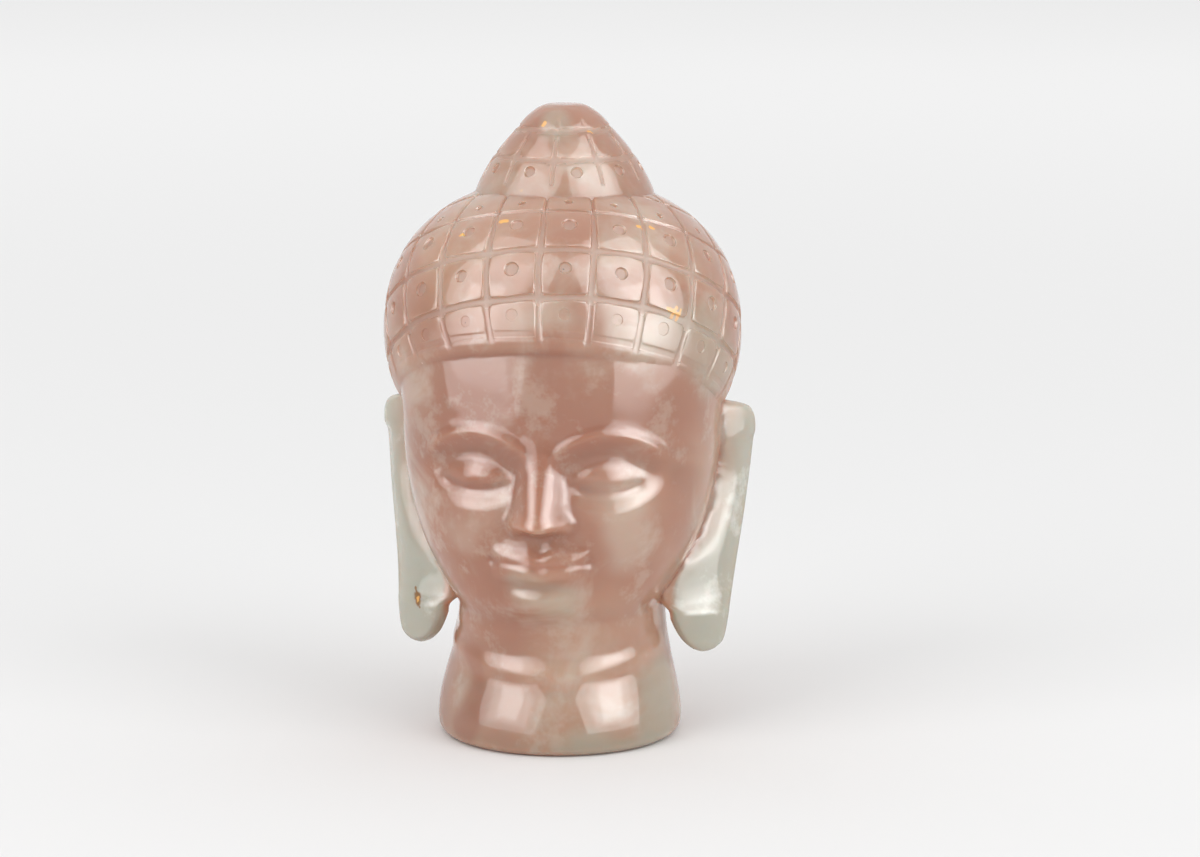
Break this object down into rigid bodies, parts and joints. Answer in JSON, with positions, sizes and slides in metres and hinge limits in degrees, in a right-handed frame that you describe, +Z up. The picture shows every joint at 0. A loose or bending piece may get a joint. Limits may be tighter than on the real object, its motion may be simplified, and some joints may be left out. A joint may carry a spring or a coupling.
{
  "type": "rose quartz buddha head",
  "caption": "Carved rose quartz head with a gridded cap of hair, a topknot and long ears, standing on its own flared neck.",
  "frame": {"origin": "middle of the head's plan, on the flat underside of the neck", "axes": "+Z up, the face looks along -Y, +X to the viewer's right"},
  "size_m": [0.121, 0.1147, 0.2],
  "materials": {
    "rose_quartz": "polished, cloudy and partly see-through, with matt cut lines"
  },
  "bodies": {
    "root": {"buddha_head": "rose_quartz"}
  },
  "joints": []
}
